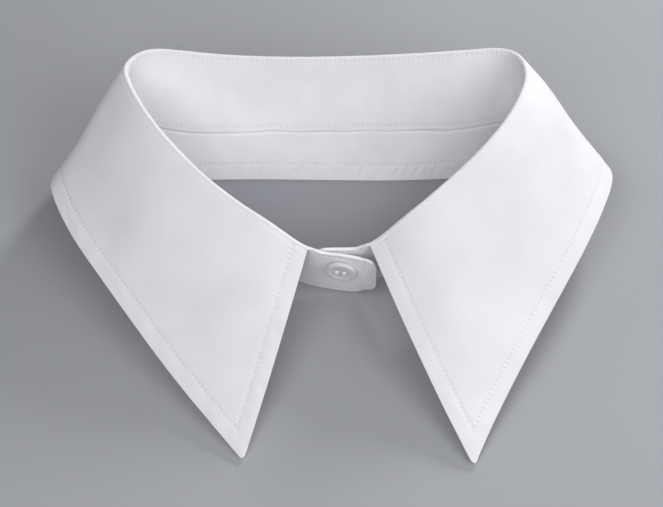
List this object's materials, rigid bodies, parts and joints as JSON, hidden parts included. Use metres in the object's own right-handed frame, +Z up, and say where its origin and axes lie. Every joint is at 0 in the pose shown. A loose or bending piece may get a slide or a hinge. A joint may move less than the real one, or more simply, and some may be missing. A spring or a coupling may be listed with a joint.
{
  "type": "sew-on shirt collar",
  "caption": "Pointed cotton shirt collar with a buttoned stand and a sew-on strip under it, standing ready to be sewn into a neckline.",
  "frame": {"origin": "the middle of the sewing strip's lower edge at the centre of the back, on the surface that the collar stands on", "axes": "+Z up, -Y towards the buttoned front and the points, +X towards the tab that lies underneath"},
  "size_m": [0.2194, 0.1643, 0.0525],
  "materials": {
    "cotton": "plain white poplin, matte",
    "tape": "plain white poplin, matte",
    "button": "satin white resin"
  },
  "bodies": {
    "root": {"collar_leaf": "cotton", "collar_stand": "cotton", "neck_strip": "tape", "button": "button"}
  },
  "joints": []
}
